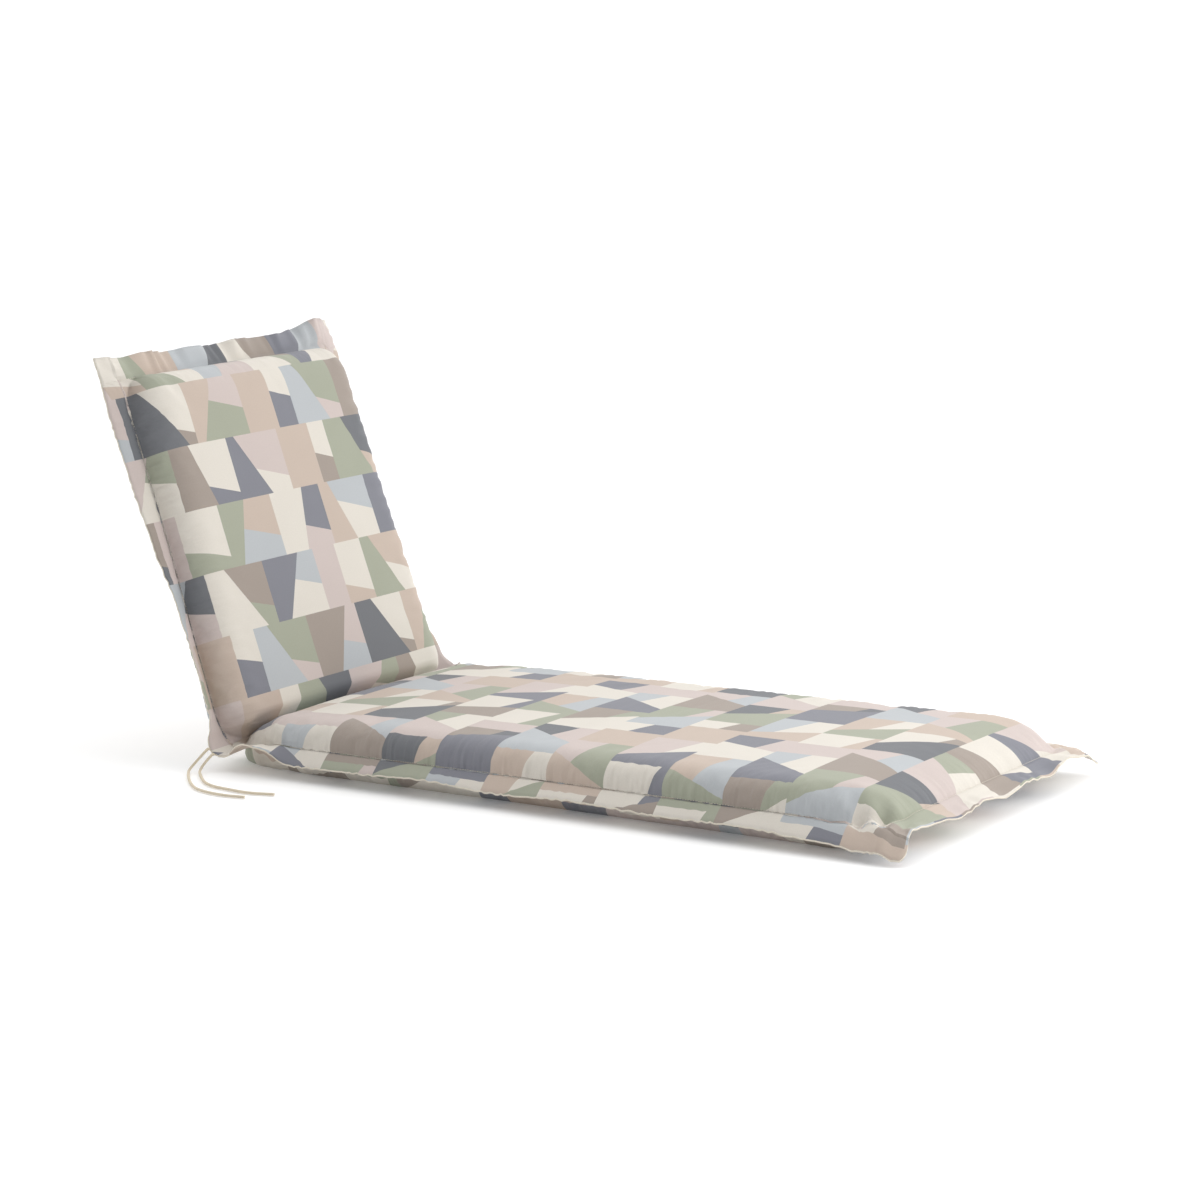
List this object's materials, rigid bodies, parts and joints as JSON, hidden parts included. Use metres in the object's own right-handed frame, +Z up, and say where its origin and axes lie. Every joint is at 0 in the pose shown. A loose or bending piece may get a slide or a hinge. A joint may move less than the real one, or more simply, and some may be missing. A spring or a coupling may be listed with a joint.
{
  "type": "sun lounger cushion",
  "caption": "Padded sun lounger cushion with a reclined back section, a stitched flange, a holding band behind the back and tie cords at the crease.",
  "frame": {"origin": "middle of the cushion's box in plan, on the surface that the seat lies on", "axes": "+X along the seat from the crease to the foot, +Y across the cushion away from the side with the ties, +Z up"},
  "size_m": [1.4972, 0.7224, 0.6635],
  "materials": {
    "cover_cloth": "matt printed plain weave",
    "band_cloth": "matt printed plain weave",
    "tie_cord": "matt twisted cotton"
  },
  "bodies": {
    "root": {"cushion": "cover_cloth", "back_band": "band_cloth", "tie_cord_outer": "tie_cord", "tie_cord_inner": "tie_cord"}
  },
  "joints": []
}
